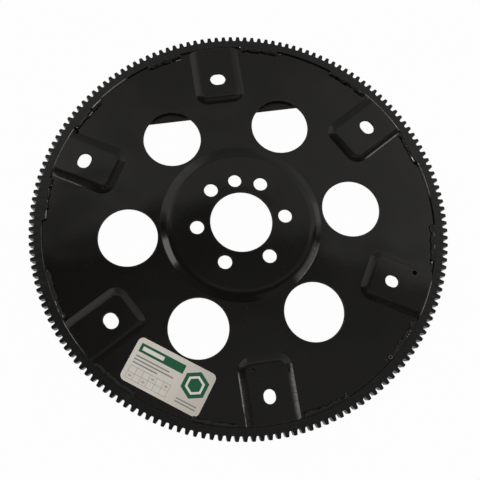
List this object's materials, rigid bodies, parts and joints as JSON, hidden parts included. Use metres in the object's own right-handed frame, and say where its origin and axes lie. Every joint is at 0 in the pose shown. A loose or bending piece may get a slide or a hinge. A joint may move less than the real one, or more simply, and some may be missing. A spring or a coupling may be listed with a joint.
{
  "type": "flexplate",
  "caption": "Black pressed-steel flexplate with a welded starter ring gear, raised converter pads, round windows and a balance weight on its back.",
  "frame": {"origin": "on the crankshaft axis, in the plane of the ring gear's back face, which the part lies on", "axes": "+Z along the crankshaft axis from the engine side to the converter side, +Y through the pad above the middle of the balance weight"},
  "size_m": [0.3578, 0.3578, 0.0121],
  "materials": {
    "black_paint": "semi-gloss black paint",
    "gear_steel": "thin semi-gloss black paint over machined teeth",
    "weight_steel": "black paint over plain steel",
    "weld_metal": "black paint over rough weld beads",
    "label_foil": "satin silver-grey foil with plain printed fields"
  },
  "bodies": {
    "root": {"ring_gear": "gear_steel", "stamped_disc": "black_paint", "balance_weight": "weight_steel", "front_ring_welds": "weld_metal", "rear_ring_welds": "weld_metal", "balance_weight_welds": "weld_metal", "label": "label_foil"}
  },
  "joints": []
}
